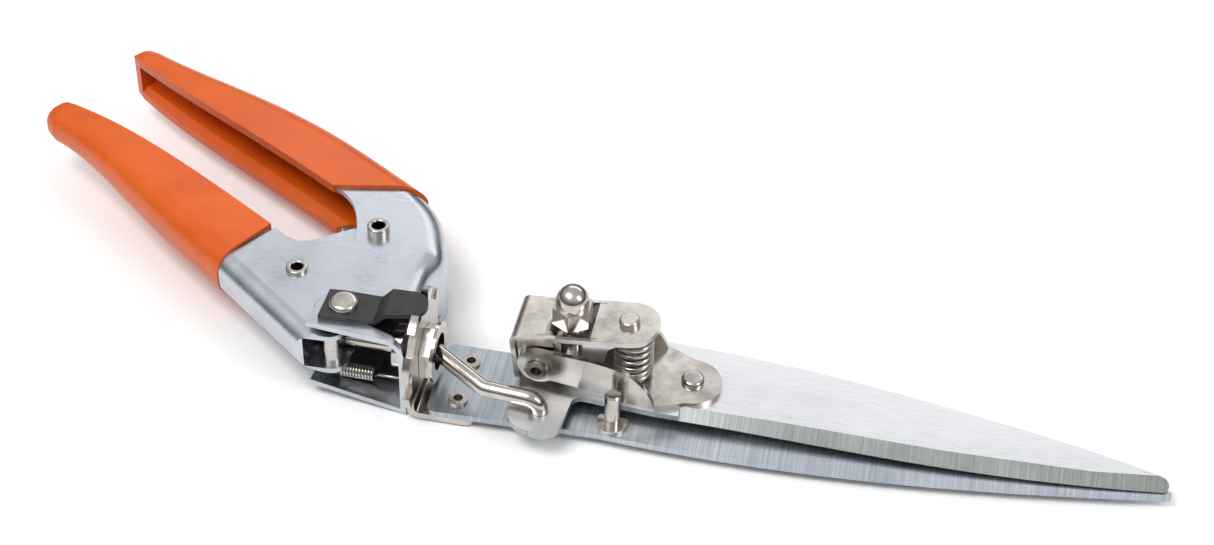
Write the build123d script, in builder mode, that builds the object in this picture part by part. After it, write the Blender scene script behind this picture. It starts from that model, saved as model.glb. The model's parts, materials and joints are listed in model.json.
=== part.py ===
from build123d import *
from math import cos, radians, sin
import os

# One-hand swivel grass shears, modelled as the separate pieces they are assembled from.
# Millimetres; X runs along the blades to the tip, Y across them to the fixed grip, Z up.
# Every piece is drawn about the datum, a point on the axis that the blade head swivels
# on.  DATUM places that point from the middle of the footprint, the origin of the part.
DATUM = (5.77, -42.74, 14.15)

# sheet steel
SHEET = 1.6                      # both handles
THIN = 1.4                       # saddle, clamp and detent lever
END_TAPER = 12.0                 # degrees, for each step of a grip's closed end
LIP = 1.3                        # thinning of a grip's wall at its rim
COAT = 1.2                       # dipped coating over the handles
FIT = 0.05                       # running clearance on a radius
SEAT = 0.02                      # clearance on the radius of a fixed fastener

# handles
FIXED_TOP = 12.5                 # top face of the fixed handle
FIXED_ROUND = 5.6                # bend at the back of the fixed handle
WALL_FRONT = -43.1               # front face of its front wall
FLOOR_FRONT = -14.15             # lowest corner of its floor
FLOOR_SLOPE = (-0.105, 0.085)    # climb of the floor along X and along Y
MOVING_TOP = 9.3
MOVING_LOW = -4.3
MOVING_ROUND = 5.4
GRIP_TURN = 33.0                 # degrees from -X towards +Y

# pivots and fasteners, in plan
HANDLE_PIVOT = (-61.8, 31.0)
ANCHOR = (-67.6, 0.0)
POST = (-65.2, -6.4)
SPACER = (-80.9, 14.3)
LEVER_RIVET = (-62.6, -1.5)
BOLT = (-0.8, 7.8)
EAR_HOLE = (-5.7, -11.3)
STOP = (13.8, -7.5)
TONGUE = (33.2, 8.4)
FOOT_RIVETS = ((-29.4, -7.6), (-29.4, 7.5))

# swivel joint
BARREL = 6.2                     # radius of the hollow bolt
BORE = 5.3
FLANGE = 8.5
SPRING_Y = -5.0                  # axis of the return spring
SPRING_Z = -7.7
DISC_BACK = -42.5
DISC_THICK = 2.0
DISC_RIM = 17.6
NOTCH_FLOOR = 14.0
NUT_FLATS = 14.0
NUT_THICK = 1.45

# blades
LOWER_TOP = -9.8
LOWER_THICK = 1.9
UPPER_TOP = -5.2                 # at the bolt
UPPER_THICK = 1.8
UPPER_PITCH = 0.94               # degrees nose down, so that the tips meet
BEVEL_STATIONS = (
    (31.4, -4.2, -0.6), (62.0, -4.9, -0.2), (103.0, -5.2, -0.4), (143.0, -2.8, 1.3), (165.0, -0.2, 4.6),
)

# saddle and clamp
SADDLE_MID = 8.3
SADDLE_HALF = 10.3               # over the walls at the hinge
SADDLE_FLARE = 3.7               # degrees that each wall opens towards the front
HINGE_X = -8.6
HINGE_UP = 6.1                   # hinge axis above the upper blade
CLAMP_PITCH = 6.3                # degrees nose up
CLAMP_HALF = 8.45
CLAMP_TOP = 10.1                 # above the hinge axis
NUT_BASE = 12.45                 # underside of the domed nut
SEAT_X = 8.9                     # middle of the pressed seat, forward of the hinge
PIN_X = 24.85                    # spring pin, forward of the hinge

# link rod
ROD = 2.35
JOURNAL = 1.45


# ---------------------------------------------------------------- planes
def place(x, y, z):
    """A point given about the datum, in the frame of the part."""
    return (DATUM[0] + x, DATUM[1] + y, DATUM[2] + z)


def level(z):
    """Plan view at a height over the swivel axis."""
    return Plane(origin=place(0, 0, z))


def across(x):
    """Section along the swivel axis: local x is Y and local y is Z."""
    return Plane(origin=place(x, 0, 0), x_dir=(0, 1, 0), z_dir=(1, 0, 0))


def side(y):
    """Side view: local x is X and local y is Z; it faces -Y."""
    return Plane(origin=place(0, y, 0), x_dir=(1, 0, 0), z_dir=(0, -1, 0))


def blade_level(z, x=BOLT[0], y=BOLT[1], turn=0):
    """Plan view of the upper blade, at a height over its top face."""
    top = Location(place(BOLT[0], BOLT[1], UPPER_TOP), (0, UPPER_PITCH, 0))
    return Plane(top * Location((x - BOLT[0], y - BOLT[1], z), (0, 0, turn)))


def blade_side(x, y, turn):
    """Side view that stands on the upper blade, turned about its normal."""
    return Plane(blade_level(0, x, y, turn).location * Location((0, 0, 0), (90, 0, 0)))


HINGE_Z = UPPER_TOP + HINGE_UP - (HINGE_X - BOLT[0]) * sin(radians(UPPER_PITCH))
CLAMP_FRAME = Location(place(HINGE_X, SADDLE_MID, HINGE_Z), (0, -CLAMP_PITCH, 0))


def clamp_level(z):
    """Plan view of the clamp, at a height over its hinge axis."""
    return Plane(CLAMP_FRAME * Location((0, 0, z)))


def clamp_side(y):
    """Side view of the clamp about its hinge axis."""
    return Plane(CLAMP_FRAME * Location((0, y, 0), (90, 0, 0)))


def station(rim, mid, turn, flip):
    """Cross-section of a handle: local x runs from the rim to the closed back."""
    angle = radians(turn)
    inward = (flip * sin(angle), flip * cos(angle), 0)
    along = (-flip * cos(angle), flip * sin(angle), 0)
    return Plane(origin=place(rim[0], rim[1], mid), x_dir=inward, z_dir=along)


# ---------------------------------------------------------------- shared shapes
def disc(plane, at, radius, amount, hole=0):
    """Round boss, or a ring when it has a bore."""
    with BuildSketch(plane) as outline:
        with Locations(at):
            Circle(radius)
            if hole:
                Circle(hole, mode=Mode.SUBTRACT)
    extrude(outline.sketch, amount=amount)


def bore(plane, at, radius, amount):
    """Round hole."""
    with BuildSketch(plane) as outline:
        with Locations(at):
            Circle(radius)
    extrude(outline.sketch, amount=amount, mode=Mode.SUBTRACT)


def c_section(plane, inset, width, height, wall, bend, lip):
    """C channel section on a handle station; its walls thin by lip towards the rim."""
    half = height / 2 - inset
    back = width - inset
    outer = min(bend, half - 0.6)
    inner = max(outer - wall, 0.5)
    low = half - wall
    deep = back - wall
    thick = min(inset + 3, (inset + deep - inner) / 2)
    with BuildSketch(plane) as section:
        with BuildLine():
            Polyline((thick, low), (inset, low + lip), (inset, half), (back - outer, half))
            CenterArc((back - outer, half - outer), outer, 90, -90)
            Line((back, half - outer), (back, outer - half))
            CenterArc((back - outer, outer - half), outer, 0, -90)
            Polyline((back - outer, -half), (inset, -half), (inset, -low - lip), (thick, -low))
            Line((thick, -low), (deep - inner, -low))
            CenterArc((deep - inner, inner - low), inner, -90, 90)
            Line((deep, inner - low), (deep, low - inner))
            CenterArc((deep - inner, low - inner), inner, 0, 90)
            Line((deep - inner, low), (thick, low))
        make_face()
    return section.sketch


def arm(stations, flip, inset, wall, bend, lip=0.0):
    """Channel lofted through its stations; inset 0 gives the coated outline."""
    sections = []
    for rim, mid, width, height in stations:
        plane = station(rim, mid, GRIP_TURN, flip)
        sections.append(c_section(plane, inset, width, height, wall, bend, lip))
    loft(sections)


def closed_end(last, flip, bend):
    """Rounded end of a grip, carried on from its last station in ever smaller steps."""
    rim, mid, width, height = last
    start = station(rim, mid, GRIP_TURN, flip)
    for out, shrink, amount in ((0, 0, 1.8), (1.8, 0.35, 1.4), (3.2, 1.0, 0.9), (4.1, 1.9, 0.6)):
        half = height / 2 - shrink
        back = width - shrink
        outer = min(bend, half - 0.6, back - shrink - 0.6)
        with BuildSketch(start.offset(flip * out)) as outline:
            with BuildLine():
                Polyline((shrink, -half), (shrink, half), (back - outer, half))
                CenterArc((back - outer, half - outer), outer, 90, -90)
                Line((back, half - outer), (back, outer - half))
                CenterArc((back - outer, outer - half), outer, 0, -90)
                Line((back - outer, -half), (shrink, -half))
            make_face()
        extrude(outline.sketch, amount=flip * amount, taper=END_TAPER)


def keep_side(point, normal):
    """Trim the part to the side of an upright plane that the normal points to."""
    split(bisect_by=Plane(origin=point, z_dir=normal), keep=Keep.TOP)


def top_edges(part, x_over):
    """Edges of the top face whose middle lies forward of x_over."""
    return [e for e in part.faces().sort_by(Axis.Z)[-1].edges() if (e @ 0.5).X > DATUM[0] + x_over]


# ---------------------------------------------------------------- fixed handle
FIXED_ARM = (
    ((-59.4, 33.4), 4.0, 19.5, 19.0),
    ((-79.5, 46.5), 4.0, 19.5, 19.0),
    ((-96.3, 57.2), 3.6, 19.4, 18.8),
    ((-124.2, 74.4), 2.6, 16.6, 18.0),
    ((-156.7, 95.8), 1.8, 10.4, 15.0),
)
FIXED_MOUTH = (-79.3, 46.8)
FIXED_MOUTH_NORMAL = (-0.206, 0.979, 0)
FLOOR_NORMAL = (-FLOOR_SLOPE[0], -FLOOR_SLOPE[1], 1)


def fixed_outline():
    """Plan of the fixed handle's body, with the arm end left long."""
    with BuildLine() as outline:
        Line((-71.2, -9.3), (WALL_FRONT, -12.2))
        Line((WALL_FRONT, -12.2), (WALL_FRONT, 17))
        Spline((WALL_FRONT, 17), (-41.3, 25), (-42.9, 34.0), (-49, 46.4), (-57.9, 54.7), (-63, 58),
               tangents=((0, 1), (-0.839, 0.545)))
        Line((-63, 58), (-81, 52))
        Line((-81, 52), (-79, 47))
        Spline((-79, 47), (-74.6, 44.1), (-69.2, 34.5), (-67, 26))
        Spline((-67, 26), (-67, 19.7), (-68.8, 6.4), (-71.2, -9.3))
    make_face(outline.edges())


with BuildPart() as fixed_hollow:
    with BuildSketch(level(-30)):
        with BuildLine():
            Line((WALL_FRONT - SHEET, -16), (WALL_FRONT - SHEET, 17))
            Spline((WALL_FRONT - SHEET, 17), (-42.9, 25), (-44.4, 33.5), (-50.2, 45.4), (-58.9, 53.4),
                   (-63.9, 56.6), tangents=((0, 1), (-0.839, 0.545)))
            Polyline((-63.9, 56.6), (-92, 72), (-92, -16), (WALL_FRONT - SHEET, -16))
        make_face()
    extrude(amount=30 + FIXED_TOP - SHEET)
    fillet(top_edges(fixed_hollow, -52), FIXED_ROUND - SHEET)
    inner_floor = Plane(origin=place(WALL_FRONT, -12.2, FLOOR_FRONT + SHEET), z_dir=FLOOR_NORMAL)
    split(bisect_by=inner_floor, keep=Keep.TOP)

with BuildPart() as fixed_handle:
    with BuildSketch(level(-30)):
        fixed_outline()
    extrude(amount=30 + FIXED_TOP)
    fillet(top_edges(fixed_handle, -52), FIXED_ROUND)
    split(bisect_by=Plane(origin=place(WALL_FRONT, -12.2, FLOOR_FRONT), z_dir=FLOOR_NORMAL), keep=Keep.TOP)
    add(fixed_hollow.part, mode=Mode.SUBTRACT)
    keep_side(place(FIXED_MOUTH[0], FIXED_MOUTH[1], 0), (0.206, -0.979, 0))
    bore(across(-50), (0, 0), BARREL + SEAT, 10)
    bore(across(-50), (SPRING_Y, SPRING_Z), 0.6, 10)
    bore(level(-30), HANDLE_PIVOT, 2.5 + SEAT, 50)
    bore(level(0), LEVER_RIVET, 1.8 + SEAT, 20)
    with BuildSketch(level(8)):
        Polygon((-56, -6.3), (-52, -7.6), (-48.7, -8.8), (-44.4, -10.2), (-44.4, 3.4), (-56, 3.4),
                align=None)
    extrude(amount=10, mode=Mode.SUBTRACT)

with BuildPart() as fixed_arm:
    arm(FIXED_ARM, 1, COAT, SHEET, FIXED_ROUND)
    keep_side(place(FIXED_MOUTH[0], FIXED_MOUTH[1] - 0.4, 0), FIXED_MOUTH_NORMAL)

with fixed_handle:
    add(fixed_arm.part)

with BuildPart() as fixed_grip:
    arm(FIXED_ARM, 1, 0, SHEET + 2 * COAT, FIXED_ROUND + COAT, LIP)
    closed_end(FIXED_ARM[-1], 1, FIXED_ROUND + COAT)
    keep_side(place(FIXED_MOUTH[0], FIXED_MOUTH[1], 0), FIXED_MOUTH_NORMAL)
    add(fixed_handle.part, mode=Mode.SUBTRACT)

# ---------------------------------------------------------------- moving handle
MOVING_ARM = (
    ((-84.4, 24.0), 2.5, 21.6, 15.8),
    ((-92.9, 29.6), 2.5, 20.8, 15.8),
    ((-112.4, 42.0), 2.5, 19.2, 15.4),
    ((-136.0, 56.2), 2.5, 15.4, 14.4),
    ((-168.6, 71.6), 2.5, 9.0, 12.0),
)
MOVING_MOUTH = (-92.9, 30.6)
MOVING_MOUTH_NORMAL = (-0.86, 0.51, 0)


def moving_outline():
    """Plan of the moving handle's body, with the arm end left long."""
    with BuildLine() as outline:
        Line((-104.0, 12.3), (-74.3, -11.0))
        Line((-74.3, -11.0), (-65.2, -10.7))
        ThreePointArc((-65.2, -10.7), (-62.2, -9.4), (-61, -5.6))
        Line((-61, -5.6), (-54.8, 30.6))
        ThreePointArc((-54.8, 30.6), (-57.3, 36.4), (-63.0, 37.9))
        Line((-63.0, 37.9), (-69.6, 34.4))
        Spline((-69.6, 34.4), (-76.4, 29.5), (-80.6, 26.8), (-84.8, 25.9), (-88.8, 27.5), (-92.0, 29.7))
        Line((-92.0, 29.7), (-104.0, 12.3))
    make_face(outline.edges())


def back_edges(part, z):
    """The long edge at the closed back, at one height."""
    return part.edges().filter_by(lambda e: abs((e @ 0.5).Z - DATUM[2] - z) < 0.01).filter_by(
        lambda e: abs((e @ 0.5).X - DATUM[0] + 89.1) < 1.5 and (e @ 0.5).Y < DATUM[1] + 4)


with BuildPart() as moving_core:
    with BuildSketch(level(MOVING_LOW + SHEET)):
        Polygon((-106.0, 15.9), (-72.0, -10.75), (-72, -14), (-40, -14), (-40, 60), (-106, 60), align=None)
    extrude(amount=MOVING_TOP - MOVING_LOW - 2 * SHEET)
    fillet(back_edges(moving_core, MOVING_TOP - SHEET), MOVING_ROUND - SHEET)
    fillet(back_edges(moving_core, MOVING_LOW + SHEET), MOVING_ROUND - SHEET)

with BuildPart() as moving_handle:
    with BuildSketch(level(MOVING_LOW)):
        moving_outline()
    extrude(amount=MOVING_TOP - MOVING_LOW)
    fillet(back_edges(moving_handle, MOVING_TOP), MOVING_ROUND)
    fillet(back_edges(moving_handle, MOVING_LOW), MOVING_ROUND)
    add(moving_core.part, mode=Mode.SUBTRACT)
    bore(level(-20), HANDLE_PIVOT, 2.5 + FIT, 40)
    bore(level(-20), SPACER, 2.5 + SEAT, 40)
    bore(level(-20), POST, 1.5 + SEAT, 40)
    bore(level(5), ANCHOR, 2.0 + FIT, 10)
    bore(level(-10), ANCHOR, 1.5 + FIT, 10)

with BuildPart() as moving_arm:
    arm(MOVING_ARM, -1, COAT, SHEET, MOVING_ROUND)
    keep_side(place(MOVING_MOUTH[0], MOVING_MOUTH[1], 0), MOVING_MOUTH_NORMAL)

with moving_handle:
    keep_side(place(MOVING_MOUTH[0] - 0.4, MOVING_MOUTH[1], 0), (0.86, -0.51, 0))
    add(moving_arm.part)

with BuildPart() as moving_grip:
    arm(MOVING_ARM, -1, 0, SHEET + 2 * COAT, MOVING_ROUND + COAT, LIP)
    closed_end(MOVING_ARM[-1], -1, MOVING_ROUND + COAT)
    keep_side(place(MOVING_MOUTH[0], MOVING_MOUTH[1], 0), MOVING_MOUTH_NORMAL)
    add(moving_handle.part, mode=Mode.SUBTRACT)

# ---------------------------------------------------------------- eyelets, post and anchor
with BuildPart() as handle_pivot_eyelet:
    disc(level(-9.9), HANDLE_PIVOT, 2.5, 24.5)
    disc(level(FIXED_TOP), HANDLE_PIVOT, 3.2, 2.6)
    disc(level(-9.9), HANDLE_PIVOT, 3.2, 0.8)
    bore(level(-10), HANDLE_PIVOT, 1.8, 30)
    fillet(handle_pivot_eyelet.faces().sort_by(Axis.Z)[-1].edges(), 0.5)

with BuildPart() as spacer_eyelet:
    disc(level(MOVING_LOW - 1), SPACER, 2.5, MOVING_TOP - MOVING_LOW + 2)
    disc(level(MOVING_TOP), SPACER, 3.1, 1.0)
    disc(level(MOVING_LOW + SHEET), SPACER, 3.3, MOVING_TOP - MOVING_LOW - 2 * SHEET)
    disc(level(MOVING_LOW - 1), SPACER, 3.1, 1.0)
    bore(level(-10), SPACER, 1.7, 30)
    fillet(spacer_eyelet.faces().sort_by(Axis.Z)[-1].edges(), 0.4)

with BuildPart() as spacer_post:
    disc(level(MOVING_LOW), POST, 1.5, MOVING_TOP - MOVING_LOW)

with BuildPart() as post_sleeves:
    disc(level(MOVING_LOW + SHEET), POST, 2.6, 5.0, hole=1.5 + SEAT)
    disc(level(2.36), POST, 2.6, MOVING_TOP - SHEET - 2.36, hole=1.5 + SEAT)

with BuildPart() as link_anchor:
    disc(level(-8.2), ANCHOR, 1.5, 17)
    disc(level(-2.6), ANCHOR, 3.2, 10.2)
    disc(level(0), ANCHOR, 2.0, 10)
    disc(level(MOVING_TOP), ANCHOR, 4.0, 1.4)
    bore(across(-75), (0, 0), 2.1, 15)

# ---------------------------------------------------------------- swivel joint
with BuildPart() as hollow_bolt:
    disc(across(-48.5), (0, 0), BARREL, 12.1)
    disc(across(-37.4), (0, 0), FLANGE, 1.0)
    disc(across(WALL_FRONT - SHEET - 1.2), (0, 0), 6.9, 1.2)
    bore(across(-60), (0, 0), BORE, 30)

with BuildPart() as swivel_nuts:
    for start in (-40.4, -38.9):
        with BuildSketch(across(start)):
            RegularPolygon(NUT_FLATS / 2, 6, major_radius=False, rotation=30)
            Circle(BARREL + SEAT, mode=Mode.SUBTRACT)
        extrude(amount=NUT_THICK)

with BuildPart() as swivel_washer:
    disc(across(-43.05), (0, 0), 8.4, 0.5, hole=BARREL + SEAT)

with BuildPart() as swivel_bracket:
    with BuildSketch(across(DISC_BACK)):
        Circle(DISC_RIM)
        with Locations((0, -19)):
            Rectangle(50, 22, mode=Mode.SUBTRACT)
        with Locations((0, -9)):
            Rectangle(26.4, 6)
        Circle(BARREL + FIT, mode=Mode.SUBTRACT)
        with Locations((0, NOTCH_FLOOR + 5)):
            Rectangle(9.8, 10, mode=Mode.SUBTRACT)
        for turn in (-90, -45, 45, 90):
            with Locations(Location((0, 0, 0), turn) * Location((0, NOTCH_FLOOR + 5, 0))):
                Rectangle(6.4, 10, mode=Mode.SUBTRACT)
    extrude(amount=DISC_THICK)
    with BuildSketch(side(0)):
        with BuildLine():
            Polyline((DISC_BACK, -8), (DISC_BACK, -10.3))
            CenterArc((DISC_BACK + 3.4, -10.3), 3.4, 180, 90)
            Polyline((DISC_BACK + 3.4, -13.7), (-23.6, -13.7), (-23.6, -11.7), (DISC_BACK + 3.4, -11.7))
            CenterArc((DISC_BACK + 3.4, -10.3), 1.4, 270, -90)
            Polyline((DISC_BACK + 2, -10.3), (DISC_BACK + 2, -8), (DISC_BACK, -8))
        make_face()
    extrude(amount=13.2, both=True)
    fillet(swivel_bracket.edges().filter_by(Axis.Z).group_by(Axis.X)[-1], 3)
    for rivet in FOOT_RIVETS:
        bore(level(-20), rivet, 1.9 + SEAT, 10)

# ---------------------------------------------------------------- lower blade
with BuildPart() as lower_blade:
    with BuildSketch(level(LOWER_TOP - LOWER_THICK)):
        with BuildLine():
            Polyline((20, 13.7), (-37.2, 13.6), (-37.2, -13.6), (10.3, -12.1))
            Spline((10.3, -12.1), (51, -13.2), (93.1, -11), (120.4, -8), (163.8, -1.4))
            ThreePointArc((163.8, -1.4), (164.8, -0.3), (163.8, 0.6))
            Spline((163.8, 0.6), (140, 3.5), (100, 8), (60, 11.5), (20, 13.7))
        make_face()
    extrude(amount=LOWER_THICK)
    fillet(lower_blade.edges().filter_by(Axis.Z).group_by(Axis.X)[0], 2.5)
    with BuildSketch(across(30)):
        Polygon((10.2, -12.8), (14.5, -12.8), (14.5, -10.1), align=None)
    with BuildSketch(across(170)):
        Polygon((-2.2, -12.8), (0.6, -12.8), (0.6, -10.1), align=None)
    loft(mode=Mode.SUBTRACT)
    bore(level(-20), BOLT, 3.0 + SEAT, 20)
    bore(level(-20), STOP, 1.75 + SEAT, 20)
    for rivet in FOOT_RIVETS:
        bore(level(-20), rivet, 1.9 + SEAT, 20)

with BuildPart() as foot_eyelets:
    for rivet in FOOT_RIVETS:
        disc(level(-13.7), rivet, 1.9, 4)
        disc(level(LOWER_TOP), rivet, 2.75, 0.8)
        bore(level(-20), rivet, 1.3, 20)

with BuildPart() as stop_pin:
    disc(level(-12.3), STOP, 1.75, 4)
    disc(level(LOWER_TOP), STOP, 4.3, 1.0)
    disc(level(LOWER_TOP), STOP, 2.25, 11.6)
    chamfer(stop_pin.faces().sort_by(Axis.Z)[-1].edges(), 0.5)

with BuildPart() as pivot_bolt:
    disc(level(-11.7), BOLT, 3.0, 32)
    disc(level(-13.3), BOLT, 5.6, 1.6)
    fillet(pivot_bolt.faces().sort_by(Axis.Z)[0].edges(), 0.8)

with BuildPart() as acorn_nut:
    with BuildSketch(level(NUT_BASE)):
        with Locations(BOLT):
            RegularPolygon(5.0, 6, major_radius=False, rotation=30)
    extrude(amount=5.6)
    disc(level(NUT_BASE + 5.6), BOLT, 4.6, 6.0)
    fillet(acorn_nut.faces().sort_by(Axis.Z)[-1].edges(), 4.4)
    bore(level(12), BOLT, 3.0 + SEAT, 8.6)

with BuildPart() as spacer_washer:
    disc(level(LOWER_TOP), BOLT, 6.0, 2.6, hole=3.0 + SEAT)

# ---------------------------------------------------------------- upper blade
with BuildPart() as upper_blade:
    with BuildSketch(blade_level(-UPPER_THICK, 0, 0)):
        with BuildLine():
            ThreePointArc((162.8, -0.5), (163.9, 1.4), (162.6, 3.6))
            Spline((162.6, 3.6), (142.6, 8.9), (116.4, 14), (89.6, 18.4), (48.4, 22.7), (26.4, 23.5))
            Spline((26.4, 23.5), (8, 22.2), (-8.6, 18.4), (-13.8, 7.8), tangents=((-1, 0), (0, -1)))
            Line((-13.8, 7.8), (-14.3, -12.2))
            ThreePointArc((-14.3, -12.2), (-12.1, -17.4), (-6.9, -19.6))
            ThreePointArc((-6.9, -19.6), (-1.0, -19.2), (1.2, -15.6))
            Line((1.2, -15.6), (2.0, -6.4))
            ThreePointArc((2.0, -6.4), (3.0, -4.2), (5.2, -3.5))
            Line((5.2, -3.5), (24.9, -4.6))
            Spline((24.9, -4.6), (62.1, -4.9), (103.2, -5.2), (143.4, -2.8), (162.8, -0.5))
        make_face()
    extrude(amount=UPPER_THICK)
    for x, edge, shoulder in BEVEL_STATIONS:
        top = UPPER_TOP - (x - BOLT[0]) * sin(radians(UPPER_PITCH))
        slope = (UPPER_THICK - 0.25) / (shoulder - edge)
        with BuildSketch(across(x)):
            Polygon((edge - 1.5, top - UPPER_THICK + 0.25 - 1.5 * slope), (shoulder + 1, top + slope),
                    (edge - 1.5, top + slope), align=None)
    loft(ruled=True, mode=Mode.SUBTRACT)
    bore(blade_level(-5), (0, 0), 3.08, 10)
    bore(blade_level(-5), (EAR_HOLE[0] - BOLT[0], EAR_HOLE[1] - BOLT[1]), ROD + 0.09, 10)
    bore(blade_level(-5), (TONGUE[0] - BOLT[0], TONGUE[1] - BOLT[1]), 1.5 + SEAT, 10)

with BuildPart() as saddle:
    for turn, sense in ((-SADDLE_FLARE, -1), (SADDLE_FLARE, 1)):
        wall = blade_side(HINGE_X, SADDLE_MID + sense * SADDLE_HALF, turn)
        with BuildSketch(wall):
            with BuildLine():
                Spline((0, 12.85), (5.6, 12.9), (20.9, 12.2), (25.5, 10.7), (30.4, 6.5), (33.3, 0),
                       tangents=((1, 0), (0.2, -1)))
                Polyline((33.3, 0), (21.5, 0), (18.4, 2.1), (3.7, 3.0))
                ThreePointArc((3.7, 3.0), (-5.6, 7.2), (0, 12.85))
            make_face()
        extrude(amount=sense * THIN)
    with BuildSketch(blade_level(0, 0, 0)):
        with BuildLine():
            Polyline((8, 2), (13.4, -3.0), (24.6, -3.9), (32.8, -0.4))
            ThreePointArc((32.8, -0.4), (41.4, 8.2), (32.8, 16.8))
            Polyline((32.8, 16.8), (24.6, 20.5), (13.4, 19.6), (8, 14.6), (8, 2))
        make_face()
    extrude(amount=THIN)
    bore(side(30), (HINGE_X, HINGE_Z), 2.2 + SEAT, 60)
    bore(blade_level(-5), (TONGUE[0] - BOLT[0], TONGUE[1] - BOLT[1]), 1.5 + SEAT, 10)

with BuildPart() as tongue_rivet:
    disc(blade_level(-UPPER_THICK), (TONGUE[0] - BOLT[0], TONGUE[1] - BOLT[1]), 1.5, 4)
    disc(blade_level(THIN), (TONGUE[0] - BOLT[0], TONGUE[1] - BOLT[1]), 3.2, 1.6)
    fillet(tongue_rivet.faces().sort_by(Axis.Z)[-1].edges(), 1.1)

HINGE_SEAT = SADDLE_HALF + 0.22
with BuildPart() as hinge_eyelets:
    for sense in (-1, 1):
        head = clamp_side(sense * HINGE_SEAT)
        disc(head, (0, 0), 3.1, -sense * 0.6)
        barrel_end = CLAMP_HALF - THIN - 0.9
        disc(clamp_side(sense * barrel_end), (0, 0), 2.2, sense * (barrel_end - HINGE_SEAT))
        disc(clamp_side(sense * (CLAMP_HALF - THIN - 0.1)), (0, 0), 2.9, sense * 0.8)
    with BuildSketch(clamp_side(20)):
        Circle(1.5)
    extrude(amount=40, mode=Mode.SUBTRACT)

# ---------------------------------------------------------------- clamp
with BuildPart() as clamp:
    with BuildSketch(clamp_side(0)):
        with BuildLine():
            Polyline((-7.2, -5.3), (-7.2, CLAMP_TOP - 2.4))
            CenterArc((-4.8, CLAMP_TOP - 2.4), 2.4, 180, -90)
            Polyline((-4.8, CLAMP_TOP), (34, CLAMP_TOP), (34, CLAMP_TOP - THIN), (-4.8, CLAMP_TOP - THIN))
            CenterArc((-4.8, CLAMP_TOP - 2.4), 1.0, 90, 90)
            Polyline((-7.2 + THIN, CLAMP_TOP - 2.4), (-7.2 + THIN, -5.3), (-7.2, -5.3))
        make_face()
    extrude(amount=CLAMP_HALF, both=True)
    with BuildSketch(clamp_level(-10)):
        SlotCenterToCenter(2 * PIN_X, 2 * CLAMP_HALF)
    extrude(amount=30, mode=Mode.INTERSECT)
    with BuildSketch(clamp_side(0)):
        with Locations((SEAT_X, CLAMP_TOP)):
            Rectangle(16.8, 6)
    extrude(amount=7.3, both=True, mode=Mode.SUBTRACT)
    with BuildSketch(clamp_side(0)):
        with BuildLine():
            Polyline((SEAT_X - 8.4, CLAMP_TOP), (SEAT_X - 6.4, CLAMP_TOP), (SEAT_X, CLAMP_TOP - 2.6),
                     (SEAT_X + 6.4, CLAMP_TOP), (SEAT_X + 8.4, CLAMP_TOP), (SEAT_X + 8.4, CLAMP_TOP - THIN),
                     (SEAT_X + 6.1, CLAMP_TOP - THIN), (SEAT_X, CLAMP_TOP - 2.6 - THIN),
                     (SEAT_X - 6.1, CLAMP_TOP - THIN), (SEAT_X - 8.4, CLAMP_TOP - THIN),
                     (SEAT_X - 8.4, CLAMP_TOP))
        make_face()
    extrude(amount=7.1, both=True)
    for sense in (-1, 1):
        with BuildSketch(clamp_side(sense * CLAMP_HALF)):
            with Locations((0, (CLAMP_TOP - 0.7) / 2)):
                Rectangle(10.2, CLAMP_TOP - 0.7)
            Circle(5.1)
            Circle(2.2 + FIT, mode=Mode.SUBTRACT)
        extrude(amount=sense * THIN)
    with BuildSketch(clamp_level(0)):
        with Locations((SEAT_X + 0.2, BOLT[1] - SADDLE_MID)):
            SlotCenterToCenter(1.6, 6.6)
    extrude(amount=20, mode=Mode.SUBTRACT)
    bore(clamp_level(0), (PIN_X, 0), 2.0 + SEAT, 20)

with BuildPart() as spring_pin:
    disc(clamp_level(0), (PIN_X, 0), 2.0, CLAMP_TOP + 0.2)
    disc(clamp_level(CLAMP_TOP), (PIN_X, 0), 2.85, 1.8)
    fillet(spring_pin.faces().sort_by(Axis.Z)[-1].edges(), 0.7)

with BuildPart() as tension_spring:
    disc(level(-3.95), (16.5, 8.35), 5.5, 15.7, hole=4.15)

# ---------------------------------------------------------------- link rod
with BuildPart() as link_rod:
    with BuildLine() as route:
        FilletPolyline(place(-63.8, 0, 0), place(-37.0, 0, 0), place(-21.5, -10, -1.2),
                       place(-5.7, -11.3, -1.2), place(-5.7, -11.3, -8.6), radius=3.4)
    with BuildSketch(Plane(origin=route.line @ 0, z_dir=route.line % 0)):
        Circle(ROD)
    sweep()
    disc(across(-71.4), (0, 0), JOURNAL, 8)

with BuildPart() as link_collar:
    disc(across(-73.4), (0, 0), 2.5, 2.0)

# ---------------------------------------------------------------- detent lever and return spring
with BuildPart() as detent_lever:
    with BuildSketch(side(0)):
        Polygon((-70, FIXED_TOP), (-52.4, FIXED_TOP), (-49.6, 15.1), (-36, 15.1), (-36, 16.5),
                (-50.2, 16.5), (-53, FIXED_TOP + THIN), (-70, FIXED_TOP + THIN), align=None)
    extrude(amount=12, both=True)
    with BuildSketch(level(5)):
        with BuildLine():
            Polyline((-42, 4.4), (-44.1, 4.8), (-50, 4.6), (-52.3, 3.6), (-64, 3.8), (-67.9, 3.4),
                     (-68.2, -7.5), (-54.8, -6.8), (-52.4, -6.6), (-50.5, -6.2), (-44.9, -4.9), (-42, -4.4))
            Spline((-42, -4.4), (-39.9, -2.6), (-39.2, 0), (-39.9, 2.6), (-42, 4.4))
        make_face()
    extrude(amount=20, mode=Mode.INTERSECT)
    bore(level(0), LEVER_RIVET, 1.8 + SEAT, 30)

with BuildPart() as detent_rivet:
    disc(level(FIXED_TOP - SHEET), LEVER_RIVET, 1.8, 4)
    disc(level(FIXED_TOP + THIN), LEVER_RIVET, 4.15, 1.7)
    fillet(detent_rivet.faces().sort_by(Axis.Z)[-1].edges(), 1.5)

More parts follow.
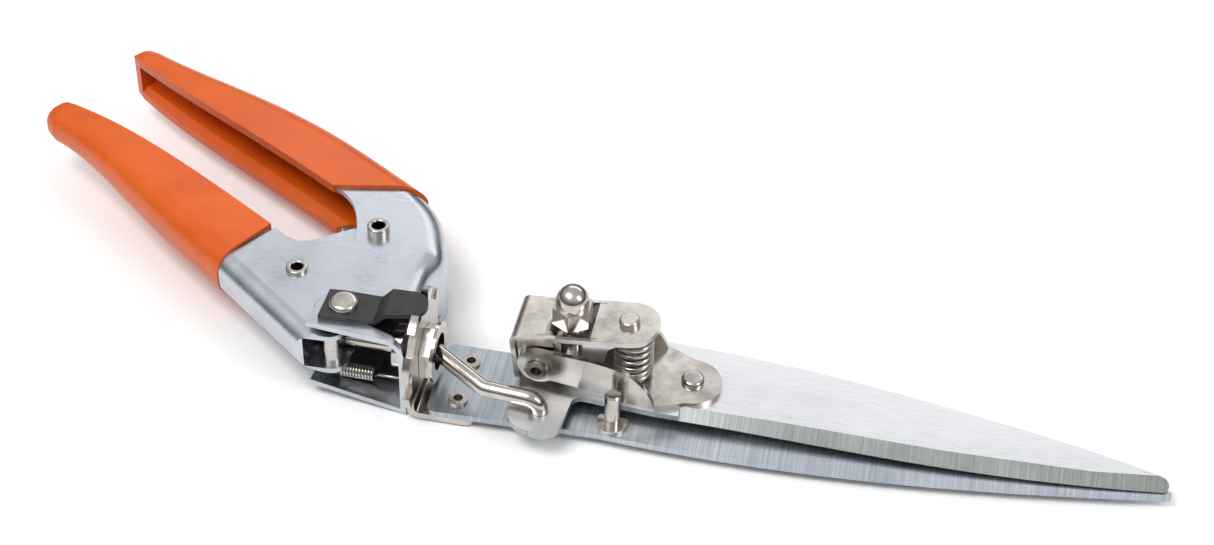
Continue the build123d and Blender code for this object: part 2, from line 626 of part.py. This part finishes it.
with BuildPart() as return_spring:
    disc(across(-63.5), (SPRING_Y, SPRING_Z), 2.1, 9.5)
    bore(across(-62.7), (SPRING_Y, SPRING_Z), 1.3, 7.9)
    disc(across(-54.2), (SPRING_Y, SPRING_Z), 0.4, 10.8)
    disc(level(SPRING_Z - 0.4), ANCHOR, 2.4, 0.8, hole=1.6)
    with BuildSketch(level(SPRING_Z - 0.4)):
        Polygon((-66.9, -2.0), (-66.3, -2.3), (-63.3, SPRING_Y - 0.3), (-63.3, SPRING_Y + 0.5), align=None)
    extrude(amount=0.8)

# ---------------------------------------------------------------- output
pieces = {
    "fixed_handle": fixed_handle,
    "fixed_grip": fixed_grip,
    "handle_pivot_eyelet": handle_pivot_eyelet,
    "moving_handle": moving_handle,
    "moving_grip": moving_grip,
    "spacer_eyelet": spacer_eyelet,
    "spacer_post": spacer_post,
    "post_sleeves": post_sleeves,
    "link_anchor": link_anchor,
    "hollow_bolt": hollow_bolt,
    "swivel_nuts": swivel_nuts,
    "swivel_washer": swivel_washer,
    "detent_lever": detent_lever,
    "detent_rivet": detent_rivet,
    "return_spring": return_spring,
    "swivel_bracket": swivel_bracket,
    "lower_blade": lower_blade,
    "foot_eyelets": foot_eyelets,
    "stop_pin": stop_pin,
    "pivot_bolt": pivot_bolt,
    "acorn_nut": acorn_nut,
    "spacer_washer": spacer_washer,
    "upper_blade": upper_blade,
    "saddle": saddle,
    "tongue_rivet": tongue_rivet,
    "hinge_eyelets": hinge_eyelets,
    "tension_spring": tension_spring,
    "clamp": clamp,
    "spring_pin": spring_pin,
    "link_rod": link_rod,
    "link_collar": link_collar,
}
os.makedirs("parts", exist_ok=True)
for name, piece in pieces.items():
    piece.part.label = name
    export_step(piece.part, "parts/" + name + ".step")
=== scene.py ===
import json
from math import cos, pi, radians, sin

import bmesh
import bpy
from mathutils import Matrix, Vector

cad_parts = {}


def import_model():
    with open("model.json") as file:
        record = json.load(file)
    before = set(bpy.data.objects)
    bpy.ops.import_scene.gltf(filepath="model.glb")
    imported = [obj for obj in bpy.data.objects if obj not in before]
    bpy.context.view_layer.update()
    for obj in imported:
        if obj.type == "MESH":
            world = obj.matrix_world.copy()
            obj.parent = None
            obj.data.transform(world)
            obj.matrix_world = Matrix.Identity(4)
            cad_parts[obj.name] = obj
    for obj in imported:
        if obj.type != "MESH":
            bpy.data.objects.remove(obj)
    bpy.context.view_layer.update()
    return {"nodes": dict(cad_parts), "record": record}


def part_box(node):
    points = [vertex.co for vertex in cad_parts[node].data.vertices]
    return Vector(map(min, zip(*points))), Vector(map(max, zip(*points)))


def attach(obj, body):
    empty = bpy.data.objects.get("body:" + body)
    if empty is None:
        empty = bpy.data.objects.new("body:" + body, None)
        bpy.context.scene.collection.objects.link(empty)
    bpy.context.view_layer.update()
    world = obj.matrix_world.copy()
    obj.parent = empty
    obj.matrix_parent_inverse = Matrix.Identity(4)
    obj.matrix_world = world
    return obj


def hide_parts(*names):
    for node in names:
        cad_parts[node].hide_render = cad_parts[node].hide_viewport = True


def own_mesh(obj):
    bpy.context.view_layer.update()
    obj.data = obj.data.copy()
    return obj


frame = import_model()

MM = 0.001
NODES = frame["nodes"]
RECORD = frame["record"]


# ---------------------------------------------------------------- colours, as ramp stops
ZINC_TONES = ((0.32, (0.43, 0.46, 0.51)), (0.52, (0.54, 0.57, 0.62)), (0.72, (0.63, 0.66, 0.71)))
NICKEL_TONES = ((0.3, (0.45, 0.415, 0.375)), (0.55, (0.56, 0.525, 0.485)), (0.75, (0.64, 0.61, 0.57)))
BLADE_TOP_TONES = (
    (0.34, (0.54, 0.555, 0.575)), (0.52, (0.68, 0.69, 0.705)), (0.68, (0.77, 0.78, 0.79)),
)
BLADE_BEVEL_TONES = (
    (0.36, (0.27, 0.30, 0.29)), (0.55, (0.40, 0.43, 0.42)), (0.70, (0.55, 0.57, 0.56)),
)
DARK_BLADE_TONES = (
    (0.36, (0.30, 0.335, 0.375)), (0.52, (0.43, 0.47, 0.515)), (0.68, (0.58, 0.61, 0.65)),
)
ORANGE_TONES = (
    (0.36, (0.55, 0.078, 0.004)), (0.52, (0.61, 0.094, 0.006)), (0.68, (0.66, 0.112, 0.009)),
)
BLACK_TONES = (
    (0.35, (0.012, 0.012, 0.013)), (0.6, (0.022, 0.022, 0.024)), (0.8, (0.05, 0.05, 0.052)),
)
FLOOR_TONES = ((0.3, (0.90, 0.90, 0.90)), (0.7, (0.92, 0.92, 0.92)))


# ---------------------------------------------------------------- node helpers
class Shader:
    """A small builder for one procedural material."""

    def __init__(self, name):
        self.material = bpy.data.materials.new(name)
        self.material.use_nodes = True
        self.tree = self.material.node_tree
        self.bsdf = self.tree.nodes["Principled BSDF"]
        coordinates = self.add("ShaderNodeTexCoord")
        self.place = coordinates.outputs["Object"]
        self.facing = coordinates.outputs["Normal"]

    def add(self, kind, **settings):
        node = self.tree.nodes.new(kind)
        for key, value in settings.items():
            setattr(node, key, value)
        return node

    def link(self, source, target):
        self.tree.links.new(source, target)

    def set(self, **values):
        for key, value in values.items():
            self.bsdf.inputs[key.replace("_", " ")].default_value = value

    def stretched(self, scale, turn=0.0):
        """Object coordinates scaled by axis, so that a noise becomes a brushed grain."""
        mapping = self.add("ShaderNodeMapping")
        mapping.inputs["Rotation"].default_value = (0, 0, turn)
        mapping.inputs["Scale"].default_value = scale
        self.link(self.place, mapping.inputs["Vector"])
        return mapping.outputs["Vector"]

    def noise(self, vector, scale, detail=3.0, roughness=0.55):
        node = self.add("ShaderNodeTexNoise")
        node.inputs["Scale"].default_value = scale
        node.inputs["Detail"].default_value = detail
        node.inputs["Roughness"].default_value = roughness
        self.link(vector, node.inputs["Vector"])
        return node.outputs["Fac"]

    def remap(self, value, from_range, to_range):
        node = self.add("ShaderNodeMapRange")
        node.inputs["From Min"].default_value = from_range[0]
        node.inputs["From Max"].default_value = from_range[1]
        node.inputs["To Min"].default_value = to_range[0]
        node.inputs["To Max"].default_value = to_range[1]
        self.link(value, node.inputs["Value"])
        return node.outputs["Result"]

    def ramp(self, value, *stops):
        node = self.add("ShaderNodeValToRGB")
        elements = node.color_ramp.elements
        elements[0].position, elements[0].color = stops[0][0], (*stops[0][1], 1)
        elements[1].position, elements[1].color = stops[-1][0], (*stops[-1][1], 1)
        for position, color in stops[1:-1]:
            elements.new(position).color = (*color, 1)
        self.link(value, node.inputs["Fac"])
        return node.outputs["Color"]

    def mix_color(self, factor, first, second):
        node = self.add("ShaderNodeMix", data_type="RGBA")
        self.link(factor, node.inputs["Factor"])
        self.link(first, node.inputs["A"])
        self.link(second, node.inputs["B"])
        return node.outputs["Result"]

    def math(self, operation, first, second):
        node = self.add("ShaderNodeMath", operation=operation)
        for socket, value in zip(node.inputs, (first, second)):
            if isinstance(value, (int, float)):
                socket.default_value = value
            else:
                self.link(value, socket)
        return node.outputs[0]

    def bump(self, height, strength, distance):
        node = self.add("ShaderNodeBump")
        node.inputs["Strength"].default_value = strength
        node.inputs["Distance"].default_value = distance
        self.link(height, node.inputs["Height"])
        self.link(node.outputs["Normal"], self.bsdf.inputs["Normal"])

    def facing_up(self, low, high):
        """0 where the surface leans over, 1 where it faces straight up or down."""
        split = self.add("ShaderNodeSeparateXYZ")
        self.link(self.facing, split.inputs[0])
        return self.remap(self.math("ABSOLUTE", split.outputs["Z"], 0.0), (low, high), (0.0, 1.0))


# ---------------------------------------------------------------- materials
def zinc():
    """Bluish zinc plate with a faint drawn grain, cloudy patches and handling scratches."""
    s = Shader("handle_zinc")
    s.set(Metallic=1.0)
    cloud = s.noise(s.place, 70, 4)
    grain = s.noise(s.stretched((120, 900, 900), radians(35)), 2.2, 4)
    scratch = s.noise(s.stretched((40, 1500, 300), radians(-25)), 1.6, 2)
    tone = s.math("ADD", s.math("MULTIPLY", cloud, 0.7), s.math("MULTIPLY", grain, 0.3))
    s.link(s.ramp(tone, *ZINC_TONES), s.bsdf.inputs["Base Color"])
    lines = s.remap(scratch, (0.66, 0.72), (0.0, 0.16))
    s.link(s.math("ADD", s.remap(cloud, (0.3, 0.7), (0.24, 0.36)), lines), s.bsdf.inputs["Roughness"])
    s.bump(s.math("ADD", grain, s.math("MULTIPLY", scratch, 0.4)), 0.12, 0.12 * MM)
    return s.material


def nickel():
    """Bright, faintly warm nickel plate."""
    s = Shader("nickel")
    s.set(Metallic=1.0)
    cloud = s.noise(s.place, 160, 4)
    fine = s.noise(s.place, 900, 2)
    s.link(s.ramp(cloud, *NICKEL_TONES), s.bsdf.inputs["Base Color"])
    s.link(s.remap(cloud, (0.3, 0.7), (0.12, 0.24)), s.bsdf.inputs["Roughness"])
    s.bump(s.math("ADD", s.math("MULTIPLY", cloud, 0.7), s.math("MULTIPLY", fine, 0.3)), 0.10, 0.15 * MM)
    return s.material


def bright_blade():
    """Lengthwise-brushed blade whose leaning bevel is ground across and looks darker."""
    s = Shader("blade_bright")
    s.set(Metallic=1.0)
    along = s.noise(s.stretched((110, 2200, 2200)), 1.4, 5, 0.65)
    cross = s.noise(s.stretched((2400, 40, 40), radians(6)), 1.2, 4, 0.6)
    patch = s.noise(s.stretched((25, 60, 60)), 1.0, 3)
    flat = s.facing_up(0.962, 0.985)
    top = s.ramp(s.math("ADD", s.math("MULTIPLY", along, 0.6), s.math("MULTIPLY", patch, 0.4)),
                 *BLADE_TOP_TONES)
    bevel = s.ramp(s.math("ADD", s.math("MULTIPLY", cross, 0.7), s.math("MULTIPLY", patch, 0.3)),
                   *BLADE_BEVEL_TONES)
    s.link(s.mix_color(flat, bevel, top), s.bsdf.inputs["Base Color"])
    s.link(s.math("ADD", s.remap(patch, (0.3, 0.7), (0.26, 0.34)), s.remap(flat, (0, 1), (0.06, 0.0))),
           s.bsdf.inputs["Roughness"])
    leaning = s.math("SUBTRACT", 1.0, flat)
    height = s.math("ADD", s.math("MULTIPLY", along, flat), s.math("MULTIPLY", cross, leaning))
    s.bump(height, 0.14, 0.12 * MM)
    return s.material


def dark_blade():
    """Blue-grey blade ground across its length."""
    s = Shader("blade_dark")
    s.set(Metallic=1.0)
    cross = s.noise(s.stretched((1300, 20, 20), radians(4)), 1.3, 5, 0.6)
    patch = s.noise(s.place, 45, 3)
    tone = s.math("ADD", s.math("MULTIPLY", cross, 0.65), s.math("MULTIPLY", patch, 0.35))
    s.link(s.ramp(tone, *DARK_BLADE_TONES), s.bsdf.inputs["Base Color"])
    s.link(s.remap(patch, (0.3, 0.7), (0.30, 0.40)), s.bsdf.inputs["Roughness"])
    s.bump(cross, 0.25, 0.12 * MM)
    return s.material


def orange_pvc():
    """Dipped PVC: glossy, slightly uneven, with soft run marks along the dip."""
    s = Shader("grip_orange")
    s.set(IOR=1.42, Coat_Weight=0.10, Coat_Roughness=0.2)
    cloud = s.noise(s.place, 28, 4)
    runs = s.noise(s.stretched((60, 130, 130), radians(-33)), 1.0, 2)
    pores = s.noise(s.place, 1100, 2)
    tone = s.math("ADD", s.math("MULTIPLY", cloud, 0.55), s.math("MULTIPLY", runs, 0.45))
    s.link(s.ramp(tone, *ORANGE_TONES), s.bsdf.inputs["Base Color"])
    s.link(s.remap(runs, (0.3, 0.7), (0.30, 0.42)), s.bsdf.inputs["Roughness"])
    s.bump(s.math("ADD", s.math("MULTIPLY", runs, 0.6), s.math("MULTIPLY", pores, 0.1)), 0.10, 0.5 * MM)
    return s.material


def black_lever():
    """Satin black coating with a fine texture, rubbed a little paler in places."""
    s = Shader("lever_black")
    s.set(Metallic=0.0, IOR=1.5)
    cloud = s.noise(s.place, 240, 4)
    fine = s.noise(s.place, 1600, 2)
    s.link(s.ramp(cloud, *BLACK_TONES), s.bsdf.inputs["Base Color"])
    s.link(s.remap(fine, (0.3, 0.7), (0.30, 0.46)), s.bsdf.inputs["Roughness"])
    s.bump(fine, 0.12, 0.2 * MM)
    return s.material


MATERIALS = {
    "handle_zinc": zinc(),
    "nickel": nickel(),
    "blade_bright": bright_blade(),
    "blade_dark": dark_blade(),
    "grip_orange": orange_pvc(),
    "lever_black": black_lever(),
}


# ---------------------------------------------------------------- carried-over CAD pieces
EDGE_BREAK = {"fixed_grip": 0.7, "moving_grip": 0.7, "lower_blade": 0.08, "upper_blade": 0.08}
USUAL_BREAK = 0.18
SHARP_ANGLE = radians(40)


def finish_nodes():
    """Gives every CAD node its material and a small break along its sharp edges."""
    for entry in RECORD["subparts"]:
        node = NODES[entry["node"]]
        node.data.materials.clear()
        node.data.materials.append(MATERIALS[entry["material_slot"]])
        edge = node.modifiers.new("edge_break", "BEVEL")
        edge.width = EDGE_BREAK.get(entry["node"], USUAL_BREAK) * MM
        edge.segments = 3
        edge.limit_method = "ANGLE"
        edge.angle_limit = SHARP_ANGLE
        edge.harden_normals = True


# ---------------------------------------------------------------- wound springs
def tube(name, points, radius, sides=12):
    """A round wire along a run of points, as one closed mesh."""
    mesh = bpy.data.meshes.new(name)
    shape = bmesh.new()
    rings = []
    across = None
    for i, point in enumerate(points):
        ahead = (points[min(i + 1, len(points) - 1)] - points[max(i - 1, 0)]).normalized()
        if across is None:
            across = ahead.orthogonal().normalized()
        across = (across - ahead * across.dot(ahead)).normalized()
        other = ahead.cross(across)
        rings.append([shape.verts.new(point + radius * (cos(a) * across + sin(a) * other))
                      for a in (2 * pi * k / sides for k in range(sides))])
    for first, second in zip(rings, rings[1:]):
        for k in range(sides):
            n = (k + 1) % sides
            shape.faces.new((first[k], first[n], second[n], second[k]))
    shape.faces.new(list(reversed(rings[0])))
    shape.faces.new(rings[-1])
    bmesh.ops.recalc_face_normals(shape, faces=shape.faces)
    for face in shape.faces:
        face.smooth = len(face.verts) == 4
    shape.to_mesh(mesh)
    shape.free()
    piece = bpy.data.objects.new(name, mesh)
    bpy.context.scene.collection.objects.link(piece)
    return piece


def coil_points(base, along, out, radius, heights, steps=28):
    """Points of a helix; heights gives the distance along the axis at each whole turn."""
    side = along.cross(out)
    points = []
    turns = len(heights) - 1
    for i in range(turns * steps + 1):
        turn, part = divmod(i, steps)
        part /= steps
        rise = heights[turn] if turn == turns else heights[turn] * (1 - part) + heights[turn + 1] * part
        angle = 2 * pi * i / steps
        points.append(base + along * rise + radius * (cos(angle) * out + sin(angle) * side))
    return points


def tension_spring():
    """Compression spring round the pin, with closed end coils."""
    low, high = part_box("tension_spring")
    wire = 0.65 * MM
    free_turns = 5
    radius = (high.x - low.x) / 2 - wire
    base = Vector(((low.x + high.x) / 2, (low.y + high.y) / 2, low.z + wire))
    length = high.z - low.z - 2 * wire
    closed = 2.1 * wire
    free = (length - 2 * closed) / free_turns
    heights = [0, closed] + [closed + free * k for k in range(1, free_turns + 1)] + [length]
    coil = coil_points(base, Vector((0, 0, 1)), Vector((-1, 0, 0)), radius, heights)
    piece = tube("wound_tension_spring", coil, wire)
    piece.data.materials.append(MATERIALS["nickel"])
    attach(piece, "upper_jaw")
    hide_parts("tension_spring")
    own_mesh(piece)


def return_spring():
    """Spring from front wall to link anchor: straight leg, coils, hook round the anchor."""
    low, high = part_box("return_spring")
    anchor_low, anchor_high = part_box("link_anchor")
    wire = 0.4 * MM
    body_radius = 2.1 * MM
    body_length = 9.5 * MM
    leg_length = 10.6 * MM
    hook_radius = 2.0 * MM
    body_front = high.x - leg_length
    body_back = body_front - body_length
    centre = Vector((body_back, low.y + body_radius, low.z + body_radius))
    turns = 11
    pitch = (body_front - body_back) / turns
    hook_at = Vector(((anchor_low.x + anchor_high.x) / 2, high.y - hook_radius - wire, centre.z))
    hook_angles = [radians(d) for d in range(-420, -122, 16)]
    hook = [hook_at + hook_radius * Vector((cos(a), sin(a), 0)) for a in hook_angles]
    coil = coil_points(centre, Vector((1, 0, 0)), Vector((0, 0, -1)), body_radius - wire,
                       [pitch * k for k in range(turns + 1)])
    leg = [Vector((body_front + 0.9 * MM, centre.y, centre.z)), Vector((high.x, centre.y, centre.z))]
    piece = tube("wound_return_spring", hook + coil + leg, wire, 10)
    piece.data.materials.append(MATERIALS["nickel"])
    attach(piece, "fixed_side")
    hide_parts("return_spring")
    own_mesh(piece)


# ---------------------------------------------------------------- floor, light and camera
def floor():
    mesh = bpy.data.meshes.new("floor")
    reach = 3.0
    corners = [(-reach, -reach, 0), (reach, -reach, 0), (reach, reach, 0), (-reach, reach, 0)]
    mesh.from_pydata(corners, [], [(0, 1, 2, 3)])
    plane = bpy.data.objects.new("floor", mesh)
    plane.location.z = -0.2 * MM
    bpy.context.scene.collection.objects.link(plane)
    s = Shader("pale_floor")
    s.set(Roughness=0.75)
    s.link(s.ramp(s.noise(s.place, 6, 2), *FLOOR_TONES), s.bsdf.inputs["Base Color"])
    mesh.materials.append(s.material)


def area(name, location, target, size, power, color=(1, 1, 1)):
    light = bpy.data.lights.new(name, "AREA")
    light.shape = "RECTANGLE"
    light.size, light.size_y = size
    light.energy = power
    light.color = color
    lamp = bpy.data.objects.new(name, light)
    lamp.location = location
    lamp.rotation_euler = (Vector(target) - Vector(location)).to_track_quat("-Z", "Y").to_euler()
    bpy.context.scene.collection.objects.link(lamp)


def world():
    """A soft studio dome: bright overhead, greyer towards the horizon."""
    dome = bpy.data.worlds.new("studio")
    bpy.context.scene.world = dome
    dome.use_nodes = True
    nodes, links = dome.node_tree.nodes, dome.node_tree.links
    background = nodes["Background"]
    coordinates = nodes.new("ShaderNodeTexCoord")
    split = nodes.new("ShaderNodeSeparateXYZ")
    ramp = nodes.new("ShaderNodeValToRGB")
    links.new(coordinates.outputs["Generated"], split.inputs[0])
    links.new(split.outputs["Z"], ramp.inputs["Fac"])
    links.new(ramp.outputs["Color"], background.inputs["Color"])
    stops = ramp.color_ramp.elements
    stops[0].position, stops[0].color = 0.0, (0.05, 0.05, 0.055, 1)
    stops[1].position, stops[1].color = 0.9, (0.85, 0.85, 0.85, 1)
    for position, value in ((0.18, 0.16), (0.42, 0.42), (0.62, 0.75)):
        stops.new(position).color = (value, value, value * 1.02, 1)
    background.inputs["Strength"].default_value = 0.85


AIM = Vector((7.13, 3.92, 10.0)) * MM
DISTANCE = 679.4 * MM
ELEVATION = radians(42)
YAW = radians(10.2)
ROLL = radians(1.8)
LENS = 69.7


def camera():
    data = bpy.data.cameras.new("camera")
    data.lens = LENS
    data.sensor_width = 36
    data.clip_start = 0.01
    eye = bpy.data.objects.new("camera", data)
    aside = Vector((-sin(YAW), cos(YAW), 0))
    right = Vector((cos(YAW), sin(YAW), 0))
    ahead = aside * cos(ELEVATION) - Vector((0, 0, sin(ELEVATION)))
    up = aside * sin(ELEVATION) + Vector((0, 0, cos(ELEVATION)))
    turned_right = right * cos(ROLL) + up * sin(ROLL)
    turned_up = up * cos(ROLL) - right * sin(ROLL)
    eye.matrix_world = Matrix.Translation(AIM - ahead * DISTANCE) @ Matrix((
        (turned_right.x, turned_up.x, -ahead.x, 0),
        (turned_right.y, turned_up.y, -ahead.y, 0),
        (turned_right.z, turned_up.z, -ahead.z, 0),
        (0, 0, 0, 1)))
    bpy.context.scene.collection.objects.link(eye)
    bpy.context.scene.camera = eye


finish_nodes()
tension_spring()
return_spring()
floor()
world()
area("key", (-0.35, -0.35, 0.95), (0, 0, 0), (0.6, 0.45), 7)
area("fill", (0.85, -0.3, 0.75), (0.05, 0, 0), (0.4, 0.6), 3.5)
area("back", (0.1, 1.0, 0.75), (0, 0, 0), (1.3, 0.3), 2.2)
camera()
bpy.context.scene.view_settings.view_transform = "Standard"
